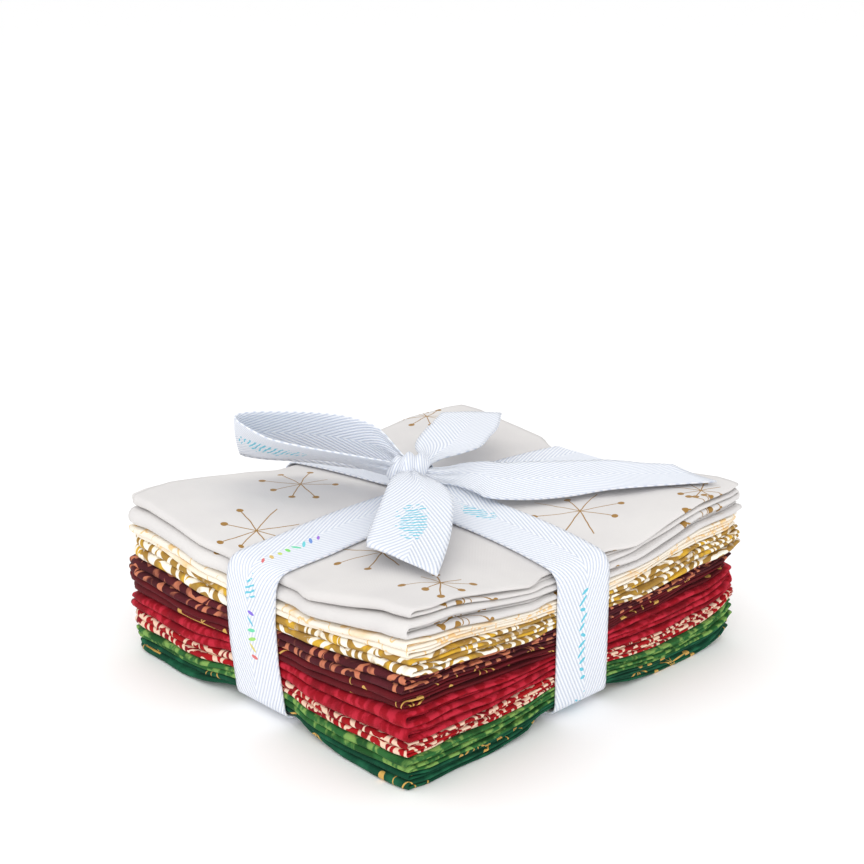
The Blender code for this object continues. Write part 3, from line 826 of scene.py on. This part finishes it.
def add(tree, kind, inputs=None, **settings):
    """Adds a shader node of this kind, applies its settings, and sets or links its inputs."""
    node = tree.nodes.new("ShaderNode" + kind)
    for key, value in settings.items():
        setattr(node, key, value)
    for key, value in (inputs or {}).items():
        if isinstance(value, bpy.types.Node):
            tree.links.new(value.outputs[0], node.inputs[key])
        elif isinstance(value, bpy.types.NodeSocket):
            tree.links.new(value, node.inputs[key])
        else:
            node.inputs[key].default_value = value
    return node


def flat_in_mm(tree):
    """The place on the flat cut, in mm: X across the cloth and Y along it."""
    uv = add(tree, "UVMap", uv_map="Flat")
    return add(tree, "VectorMath", {0: uv, 1: (1 / MM, 1 / MM, 1 / MM)}, operation="MULTIPLY")


def wandered(tree, place, reach, size):
    """The place moved by up to about reach mm, in waves of this size: a line drawn by hand."""
    noise = add(tree, "TexNoise", {"Vector": place, "Scale": 1 / size, "Detail": 2.0})
    centred = add(
        tree, "VectorMath", {0: noise.outputs["Color"], 1: (0.5, 0.5, 0.5)}, operation="SUBTRACT"
    )
    shift = add(tree, "VectorMath", {0: centred, 1: (4 * reach,) * 3}, operation="MULTIPLY")
    return add(tree, "VectorMath", {0: place, 1: shift}, operation="ADD")


def mottle(tree, place, size, low, high, stretch=1.0):
    """Soft patches of about this size in mm: 0 below low and 1 above high."""
    scaled = add(tree, "VectorMath", {0: place, 1: (1.0, stretch, 1.0)}, operation="MULTIPLY")
    noise = add(tree, "TexNoise", {"Vector": scaled, "Scale": 1 / size, "Detail": 4.0})
    return add(
        tree,
        "MapRange",
        {"Value": noise, "From Min": low, "From Max": high},
        interpolation_type="SMOOTHSTEP",
    )


def scrolls(tree, place, size, pitch, low, high):
    """Scrollwork: a spiral round each of many scattered centres, size mm apart."""
    drawn = wandered(tree, place, 0.5 * pitch, size / 2)
    cells = add(
        tree,
        "TexVoronoi",
        {"Vector": drawn, "Scale": 1 / size, "Randomness": 0.85},
        voronoi_dimensions="2D",
    )
    local = add(tree, "VectorMath", {0: drawn, 1: cells.outputs["Position"]}, operation="SUBTRACT")
    parts = add(tree, "SeparateXYZ", {0: local})
    radius = add(tree, "VectorMath", {0: local}, operation="LENGTH").outputs["Value"]
    turn = add(tree, "Math", {0: parts.outputs[1], 1: parts.outputs[0]}, operation="ARCTAN2")
    wound = add(tree, "Math", {0: radius, 1: 2 * math.pi / pitch, 2: turn}, operation="MULTIPLY_ADD")
    wave = add(tree, "Math", {0: wound}, operation="SINE")
    return add(
        tree,
        "MapRange",
        {"Value": wave, "From Min": low, "From Max": high},
        interpolation_type="SMOOTHSTEP",
    )


def burst(tree, local, seed, reach):
    """A burst of thin arms, unequal in length, each ending in a dot. local is its own place."""
    parts = add(tree, "SeparateXYZ", {0: local})
    radius = add(tree, "VectorMath", {0: local}, operation="LENGTH").outputs["Value"]
    turn = add(tree, "Math", {0: parts.outputs[1], 1: parts.outputs[0]}, operation="ARCTAN2")
    sector = add(
        tree, "Math", {0: turn, 1: BURST_ARMS / (2 * math.pi), 2: seed}, operation="MULTIPLY_ADD"
    )
    number = add(tree, "Math", {0: sector}, operation="ROUND")
    wrapped = add(tree, "Math", {0: number, 1: BURST_ARMS}, operation="FLOORED_MODULO")
    key = add(tree, "Math", {0: seed, 1: 13.7, 2: wrapped}, operation="MULTIPLY_ADD")
    lots = add(tree, "TexWhiteNoise", {"W": key}, noise_dimensions="1D")
    lot = add(tree, "SeparateColor", {0: lots.outputs["Color"]})
    off = add(tree, "Math", {0: sector, 1: number}, operation="SUBTRACT")
    jitter = add(tree, "Math", {0: lot.outputs[0], 1: 0.4, 2: -0.2}, operation="MULTIPLY_ADD")
    off = add(tree, "Math", {0: off, 1: jitter}, operation="ADD")
    aside = add(tree, "Math", {0: off, 1: 2 * math.pi / BURST_ARMS}, operation="MULTIPLY")
    cosine = add(tree, "Math", {0: aside}, operation="COSINE")
    sine = add(tree, "Math", {0: aside}, operation="SINE")
    along = add(tree, "Math", {0: radius, 1: cosine}, operation="MULTIPLY")
    across = add(tree, "Math", {0: radius, 1: sine}, operation="MULTIPLY")
    length = add(
        tree, "Math", {0: lot.outputs[1], 1: 0.45 * reach, 2: 0.55 * reach}, operation="MULTIPLY_ADD"
    )
    beside = add(tree, "Math", {0: across}, operation="ABSOLUTE")
    thin = add(tree, "Math", {0: beside, 1: INK_LINE / 2}, operation="LESS_THAN")
    inside = add(tree, "Math", {0: along, 1: length}, operation="LESS_THAN")
    line = add(tree, "Math", {0: thin, 1: inside}, operation="MULTIPLY")
    beyond = add(tree, "Math", {0: along, 1: length}, operation="SUBTRACT")
    from_dot = add(tree, "CombineXYZ", {0: beyond, 1: across})
    gap = add(tree, "VectorMath", {0: from_dot}, operation="LENGTH").outputs["Value"]
    dot = add(tree, "Math", {0: gap, 1: INK_DOT / 2}, operation="LESS_THAN")
    dotted = add(tree, "Math", {0: lot.outputs[2], 1: 0.2}, operation="GREATER_THAN")
    dot = add(tree, "Math", {0: dot, 1: dotted}, operation="MULTIPLY")
    return add(tree, "Math", {0: line, 1: dot}, operation="MAXIMUM")


def placed_bursts(tree, place, centres, repeat):
    """The bursts of the table, each repeated all over the cloth at the fold's own spacing."""
    drawn = wandered(tree, place, 0.5, 14.0)
    half = (repeat[0] / 2, repeat[1] / 2, 1.0)
    mask = None
    for u, v, seed, reach in centres:
        apart = add(tree, "VectorMath", {0: drawn, 1: (u, v, 0.0)}, operation="SUBTRACT")
        local = add(tree, "VectorMath", {0: apart, 1: half, 2: tuple(-h for h in half)}, operation="WRAP")
        drawn_burst = burst(tree, local, seed, reach)
        if mask is None:
            mask = drawn_burst
        else:
            mask = add(tree, "Math", {0: mask, 1: drawn_burst}, operation="MAXIMUM")
    return mask


def scattered_bursts(tree, place, size, reach):
    """Small bursts scattered over the cloth, about size mm apart."""
    drawn = wandered(tree, place, 0.5, 14.0)
    cells = add(
        tree,
        "TexVoronoi",
        {"Vector": drawn, "Scale": 1 / size, "Randomness": 0.6},
        voronoi_dimensions="2D",
    )
    local = add(tree, "VectorMath", {0: drawn, 1: cells.outputs["Position"]}, operation="SUBTRACT")
    lot = add(tree, "SeparateColor", {0: cells.outputs["Color"]})
    seed = add(tree, "Math", {0: lot.outputs[0], 1: 9.0}, operation="MULTIPLY")
    return burst(tree, local, seed, reach)


def cotton(name):
    """Printed quilting cotton, plain woven from fine yarn: matt, with a fuzz that catches light.

    Returns the material, its shader and the flat place in mm. The weave is drawn with yarns
    WEAVE mm apart, twice as coarse as they are, because real ones would not show.
    """
    material = bpy.data.materials.new(name)
    material.use_nodes = True
    tree = material.node_tree
    shader = tree.nodes["Principled BSDF"]
    shader.inputs["Roughness"].default_value = COTTON_ROUGH
    shader.inputs["Specular IOR Level"].default_value = 0.18
    shader.inputs["Sheen Weight"].default_value = 0.03
    shader.inputs["Sheen Roughness"].default_value = 0.4
    place = flat_in_mm(tree)
    scaled = add(tree, "VectorMath", {0: place, 1: (2 * math.pi / WEAVE,) * 3}, operation="MULTIPLY")
    waves = add(tree, "VectorMath", {0: scaled}, operation="SINE")
    parts = add(tree, "SeparateXYZ", {0: waves})
    yarns = add(tree, "Math", {0: parts.outputs[0], 1: parts.outputs[1]}, operation="MULTIPLY")
    slubs = mottle(tree, place, 1.4, 0.3, 0.7, stretch=0.2)
    height = add(tree, "Math", {0: slubs, 1: 0.6, 2: yarns}, operation="MULTIPLY_ADD")
    bump = add(tree, "Bump", {"Height": height, "Distance": 0.04 * MM, "Strength": 0.5})
    tree.links.new(bump.outputs[0], shader.inputs["Normal"])
    return material, shader, place


def printed(tree, mask, ground, ink):
    """Lays a print over the ground, where mask is 1."""
    mix = add(tree, "Mix", {0: mask, 6: ground, 7: ink}, data_type="RGBA")
    return mix.outputs[2]


def cotton_for(name, colours, centres, repeat):
    """The quilting cotton of one fabric: clouds of two tones, with its own print over them."""
    material, shader, place = cotton(f"{name}_quilting_cotton")
    tree = material.node_tree
    row = dict(zip(PRINT_COLUMNS, PRINTS[name]))
    base, shade, ink = (list(getattr(colours, row[key])) for key in ("base", "shade", "ink"))
    ground = printed(tree, mottle(tree, place, *row["clouds"]), base, shade)
    masks = []
    if row["scroll"]:
        masks.append(scrolls(tree, place, *row["scroll"]))
    if row["patches"]:
        masks.append(mottle(tree, place, *row["patches"]))
    if row["bursts"] == "table":
        masks.append(placed_bursts(tree, place, centres, repeat))
    elif row["bursts"]:
        masks.append(scattered_bursts(tree, place, *row["bursts"]))
    mask = masks[0]
    for other in masks[1:]:
        mask = add(tree, "Math", {0: mask, 1: other}, operation="MULTIPLY")
    tree.links.new(printed(tree, mask, ground, ink), shader.inputs["Base Color"])
    if row["bursts"]:
        ends = {"Value": mask, "To Min": COTTON_ROUGH, "To Max": INK_ROUGH}
        gloss = add(tree, "MapRange", ends)
        tree.links.new(gloss.outputs[0], shader.inputs["Roughness"])
    return material


def twill_ribbon(name, colours, hatch, rows, bright):
    """Cotton herringbone twill tape, woven: ridges that slant one way, then the other.

    The ridges are drawn RIB mm apart, wider than real ones, so that they show, and the grooves
    between them are coloured a darker, bluish tone: painted shade. hatch: the centre, half length
    and half width of a patch of slanted strokes in each repeat, or None. rows: the start and number
    of each row of small dabs. bright: how far along the ribbon they have many colours, before they
    turn pale.
    """
    material = bpy.data.materials.new(name)
    material.use_nodes = True
    tree = material.node_tree
    shader = tree.nodes["Principled BSDF"]
    shader.inputs["Roughness"].default_value = 0.7
    shader.inputs["Sheen Weight"].default_value = 0.1
    place = flat_in_mm(tree)
    parts = add(tree, "SeparateXYZ", {0: place})
    across, along = parts.outputs[0], parts.outputs[1]
    folded = add(tree, "Math", {0: across, 1: RIB_ZONE}, operation="PINGPONG")
    slant = add(tree, "Math", {0: folded, 1: RIB_SLOPE, 2: along}, operation="MULTIPLY_ADD")
    half_ridge = RIB / 2 * math.hypot(1.0, RIB_SLOPE)
    ridges = add(tree, "Math", {0: slant, 1: half_ridge}, operation="PINGPONG")
    # The ridge pattern raises the bump and also marks where the painted shade goes: 0 in the grooves, 1 on
    # the ridges
    ridge_and_painted_shade = add(
        tree,
        "MapRange",
        {"Value": ridges, "From Min": 0.0, "From Max": 0.7 * half_ridge},
        interpolation_type="SMOOTHSTEP",
    )
    yarn = add(tree, "Math", {0: across, 1: 2 * math.pi / RIBBON_YARN}, operation="MULTIPLY")
    yarn = add(tree, "Math", {0: yarn}, operation="SINE")
    height = add(tree, "Math", {0: yarn, 1: 0.15, 2: ridge_and_painted_shade}, operation="MULTIPLY_ADD")
    bump = add(tree, "Bump", {"Height": height, "Distance": 0.24 * MM, "Strength": 0.8})
    tree.links.new(bump.outputs[0], shader.inputs["Normal"])
    # Painted shade: the grooves between the ridges are coloured a darker, bluish tone in place of the
    # shade falling in them
    colour = printed(tree, ridge_and_painted_shade, list(colours.ribbon_painted_groove_shade), list(colours.ribbon))
    repeat = add(tree, "Math", {0: along, 1: MARK_REPEAT}, operation="FLOORED_MODULO")
    beside = add(tree, "Math", {0: across, 1: 12.0}, operation="SUBTRACT")
    if hatch is not None:
        strokes = hatching(tree, place, repeat, beside, hatch)
        colour = printed(tree, strokes, colour, list(colours.aqua))
    for start, count in rows:
        mask, number = dabs(tree, repeat, beside, start, count)
        hue = add(tree, "Math", {0: number, 1: 0.83 / count}, operation="MULTIPLY")
        many = add(tree, "CombineColor", {0: hue, 1: 0.8, 2: 0.72}, mode="HSV")
        far = add(tree, "Math", {0: along, 1: bright}, operation="GREATER_THAN")
        ink = printed(tree, far, many, list(colours.aqua))
        colour = printed(tree, mask, colour, ink)
    tree.links.new(colour, shader.inputs["Base Color"])
    return material


def hatching(tree, place, repeat, beside, hatch):
    """A ragged patch of slanted strokes, like dry brushwork."""
    centre, half_long, half_wide = hatch
    from_centre = add(tree, "Math", {0: repeat, 1: centre}, operation="SUBTRACT")
    oval = add(tree, "CombineXYZ", {0: from_centre, 1: beside})
    oval = add(
        tree, "VectorMath", {0: oval, 1: (1 / half_long, 1 / half_wide, 0.0)}, operation="MULTIPLY"
    )
    reach = add(tree, "VectorMath", {0: oval}, operation="LENGTH").outputs["Value"]
    ragged = mottle(tree, place, 2.6, 0.2, 0.8)
    edge = add(tree, "Math", {0: ragged, 1: 0.9, 2: reach}, operation="MULTIPLY_ADD")
    within = add(tree, "Math", {0: edge, 1: 1.15}, operation="LESS_THAN")
    drawn = add(tree, "SeparateXYZ", {0: wandered(tree, place, 0.5, 5.0)})
    lines = add(
        tree, "Math", {0: drawn.outputs[0], 1: 0.5, 2: drawn.outputs[1]}, operation="MULTIPLY_ADD"
    )
    lines = add(tree, "Math", {0: lines, 1: STROKE_PITCH}, operation="PINGPONG")
    lines = add(tree, "Math", {0: lines, 1: STROKE_THIN}, operation="LESS_THAN")
    return add(tree, "Math", {0: lines, 1: within}, operation="MULTIPLY")


def dabs(tree, repeat, beside, start, count):
    """A row of small brush dabs, each leaning its own way: its mask and each dab's number."""
    from_start = add(tree, "Math", {0: repeat, 1: start}, operation="SUBTRACT")
    number = add(tree, "Math", {0: from_start, 1: 1 / MARK_PITCH}, operation="MULTIPLY")
    number = add(tree, "Math", {0: number}, operation="FLOOR")
    key = add(tree, "Math", {0: number, 1: start}, operation="ADD")
    lots = add(tree, "TexWhiteNoise", {"W": key}, noise_dimensions="1D")
    lot = add(tree, "SeparateColor", {0: lots.outputs["Color"]})
    centre = add(tree, "Math", {0: number, 1: MARK_PITCH, 2: MARK_PITCH / 2}, operation="MULTIPLY_ADD")
    apart = add(tree, "Math", {0: from_start, 1: centre}, operation="SUBTRACT")
    lean = add(tree, "Math", {0: lot.outputs[0], 1: 1.4, 2: -0.9}, operation="MULTIPLY_ADD")
    raised = add(tree, "Math", {0: lot.outputs[1], 1: 1.2, 2: -0.6}, operation="MULTIPLY_ADD")
    high = add(tree, "Math", {0: beside, 1: raised}, operation="SUBTRACT")
    leaned = add(tree, "Math", {0: high, 1: lean, 2: apart}, operation="MULTIPLY_ADD")
    half_long = add(tree, "Math", {0: lot.outputs[2], 1: 0.9, 2: 1.0}, operation="MULTIPLY_ADD")
    tall = add(tree, "Math", {0: high, 1: half_long}, operation="DIVIDE")
    thin = add(tree, "Math", {0: leaned, 1: DAB_THIN}, operation="DIVIDE")
    shape = add(tree, "CombineXYZ", {0: tall, 1: thin})
    reach = add(tree, "VectorMath", {0: shape}, operation="LENGTH").outputs["Value"]
    mask = add(tree, "Math", {0: reach, 1: 1.0}, operation="LESS_THAN")
    first = add(tree, "Math", {0: number, 1: -0.5}, operation="GREATER_THAN")
    last = add(tree, "Math", {0: number, 1: count - 0.5}, operation="LESS_THAN")
    for limit in (first, last):
        mask = add(tree, "Math", {0: mask, 1: limit}, operation="MULTIPLY")
    return mask, number


class BUNDLE_OT_fabrics(bpy.types.Operator):
    """Adds the nine folded fat quarters"""

    bl_idname = "bundle.fabrics"
    bl_label = "Add the folded fabrics"

    def execute(self, context):
        sizes = context.scene.bundle_sizes
        colours = context.scene.bundle_colours
        stack = Stack(sizes)
        for k, row in enumerate(stack.fabrics):
            step = STEP_TOP if row["name"] == "white" else STEP
            places = folded_sheet(stack, k, step)
            name = f"quarter_{row['name']}"
            flat = flat_lengths(places)
            obj = grid_object(name, places, flat, sizes.cloth)
            repeat = (flat[0][-1] / PLIES, flat[1][-1] / BANDS)
            centres = burst_centres(places, flat)
            obj.data.materials.append(cotton_for(row["name"], colours, centres, repeat))
            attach(obj, "root")
            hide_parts(f"fabric_{row['name']}")
        return {"FINISHED"}


class BUNDLE_OT_bands(bpy.types.Operator):
    """Adds the two bands of ribbon round the stack"""

    bl_idname = "bundle.bands"
    bl_label = "Add the ribbon's bands"

    def execute(self, context):
        sizes = context.scene.bundle_sizes
        colours = context.scene.bundle_colours
        stack = Stack(sizes)
        reach = sizes.ribbon_width / MM / 2
        rise = BAND_RISE + sizes.ribbon_thick / MM / 2
        y, z = even_rows(long_band_path(stack, rise)).T
        x = RIBBON_X + wander(y, z)
        edges = np.stack([x + reach, y, z, x - reach, y, z], axis=1)
        flat = np.zeros(len(edges))
        places = strip_places(edges, flat, flat)
        material = twill_ribbon(
            "herringbone_twill_long_band", colours, (24.0, 5.5, 3.0), ((0.0, 6), (33.0, 8)), 199.0
        )
        add_strip(context, "ribbon_long", "ribbon_band_long", places, 9.0, material)

        x, z = even_rows(cross_band_path(stack, rise)).T
        near = np.abs(x - KNOT_AT[0])
        down = soften((50.0 - z) / 25.0)
        kept = np.minimum(1.0, 0.22 + 0.05 * near)
        gathered = np.where(x < KNOT_AT[0], 0.1 + 0.006 * near, kept)
        kept = kept + (1.0 - kept) * down
        gathered = gathered + (1.0 - gathered) * down
        front, back = RIBBON_Y - reach * gathered, RIBBON_Y + reach * kept
        edges = np.stack([x, front, z, x, back, z], axis=1)
        pleats = np.where(z < stack.top / 2, 0.0, 0.7 * (1.0 - soften((near - 6.0) / 16.0)))
        places = strip_places(edges, np.zeros(len(edges)), pleats)
        material = twill_ribbon(
            "herringbone_twill_cross_band", colours, (45.0, 9.0, 4.5), ((57.0, 11),), 0.0
        )
        add_strip(context, "ribbon_cross", "ribbon_band_cross", places, 85.0, material)
        return {"FINISHED"}


class BUNDLE_OT_bow(bpy.types.Operator):
    """Adds the knot, the two loops and the two tails of the bow"""

    bl_idname = "bundle.bow"
    bl_label = "Add the bow"

    def execute(self, context):
        colours = context.scene.bundle_colours
        plain = twill_ribbon("herringbone_twill", colours, None, (), 0.0)
        brushed = twill_ribbon("herringbone_twill_bow", colours, (26.0, 15.0, 6.5), (), 0.0)
        pieces = (
            ("bow_side_loop", "bow_loop_side", loop_edges(), 0.6, True, brushed, 72.0),
            ("bow_front_loop", "bow_loop_front", LOOP_FRONT, 0.5, True, brushed, 77.0),
            ("bow_long_tail", "bow_tail_long", TAIL_LONG, 0.5, False, plain, 0.0),
            ("bow_back_tail", "bow_tail_back", TAIL_BACK, 0.4, False, plain, 0.0),
        )
        for name, node, table, crown, both, material, start in pieces:
            edges = smooth_rows(table, STRIP_STEPS)
            count = len(edges)
            gather = gathering(count, 3.2 * STRIP_STEPS, 0.8)
            if both:
                gather = gather + gather[::-1]
            crowns = crown * np.sin(math.pi * np.linspace(0.0, 1.0 if both else 0.6, count))
            places = strip_places(edges, crowns, gather)
            add_strip(context, name, node, places, start, material)
        add_strip(context, "bow_knot", "ribbon_knot", knot_places(), 0.0, plain)
        return {"FINISHED"}


class BUNDLE_OT_stage(bpy.types.Operator):
    """Adds the floor, the studio light and the camera"""

    bl_idname = "bundle.stage"
    bl_label = "Add the stage"

    def execute(self, context):
        build = bmesh.new()
        bmesh.ops.create_grid(build, x_segments=1, y_segments=1, size=6.0)
        mesh = bpy.data.meshes.new("floor")
        build.to_mesh(mesh)
        build.free()
        floor = bpy.data.objects.new("floor", mesh)
        context.scene.collection.objects.link(floor)
        material = bpy.data.materials.new("floor_paper")
        material.use_nodes = True
        shader = material.node_tree.nodes["Principled BSDF"]
        shader.inputs["Base Color"].default_value = list(context.scene.bundle_colours.floor)
        shader.inputs["Roughness"].default_value = 0.9
        floor.data.materials.append(material)

        world = bpy.data.worlds.new("studio")
        world.use_nodes = True
        world.node_tree.nodes["Background"].inputs["Color"].default_value = (1.0, 1.0, 1.0, 1.0)
        world.node_tree.nodes["Background"].inputs["Strength"].default_value = 1.0
        context.scene.world = world
        context.scene.view_settings.view_transform = "Standard"
        for name, at, turn, energy, size in (
            ("key", (-0.6, -0.9, 1.5), (-0.3, -0.5, 1.0), 3.0, 1.2),
            ("fill", (0.9, -0.9, 0.7), (0.8, -0.8, 0.6), 5.8, 1.2),
        ):
            light = bpy.data.lights.new(name, "AREA")
            light.energy = energy
            light.size = size
            lamp = bpy.data.objects.new(name, light)
            lamp.location = at
            lamp.rotation_euler = turned_to(turn)
            context.scene.collection.objects.link(lamp)

        camera = bpy.data.cameras.new("camera")
        camera.lens = CAMERA_LENS
        camera.sensor_width = 36.0
        camera.clip_start = 0.01
        holder = bpy.data.objects.new("camera", camera)
        context.scene.collection.objects.link(holder)
        right = (math.cos(CAMERA_TURN), math.sin(CAMERA_TURN), 0.0)
        back = (
            math.sin(CAMERA_TURN) * math.cos(CAMERA_TILT),
            -math.cos(CAMERA_TURN) * math.cos(CAMERA_TILT),
            math.sin(CAMERA_TILT),
        )
        up = np.cross(back, right)
        turn = Matrix((right, up, back)).transposed().to_4x4()
        holder.matrix_world = Matrix.Translation(CAMERA_AT) @ turn
        context.scene.camera = holder
        return {"FINISHED"}


def turned_to(direction):
    """The turn that points a lamp's back along this direction."""
    return Vector(direction).to_track_quat("Z", "Y").to_euler()


class BUNDLE_PT_panel(bpy.types.Panel):
    """Lists the bundle's pieces and settings"""

    bl_idname = "BUNDLE_PT_panel"
    bl_label = "Fat quarter bundle"
    bl_space_type = "VIEW_3D"
    bl_region_type = "UI"
    bl_category = "Bundle"

    def draw(self, context):
        column = self.layout.column()
        for settings in (context.scene.bundle_sizes, context.scene.bundle_colours):
            for key in settings.bl_rna.properties.keys():
                if key not in ("rna_type", "name"):
                    column.prop(settings, key)
        for operator in OPERATORS:
            column.operator(operator.bl_idname)


OPERATORS = (BUNDLE_OT_fabrics, BUNDLE_OT_bands, BUNDLE_OT_bow, BUNDLE_OT_stage)
CLASSES = (BundleSizes, BundleColours, *OPERATORS, BUNDLE_PT_panel)


def register():
    for cls in CLASSES:
        bpy.utils.register_class(cls)
    bpy.types.Scene.bundle_sizes = bpy.props.PointerProperty(type=BundleSizes)
    bpy.types.Scene.bundle_colours = bpy.props.PointerProperty(type=BundleColours)


def unregister():
    del bpy.types.Scene.bundle_colours
    del bpy.types.Scene.bundle_sizes
    for cls in reversed(CLASSES):
        bpy.utils.unregister_class(cls)


def main():
    register()
    bpy.ops.bundle.fabrics()
    bpy.ops.bundle.bands()
    bpy.ops.bundle.bow()
    bpy.ops.bundle.stage()


if __name__ == "__main__":
    main()
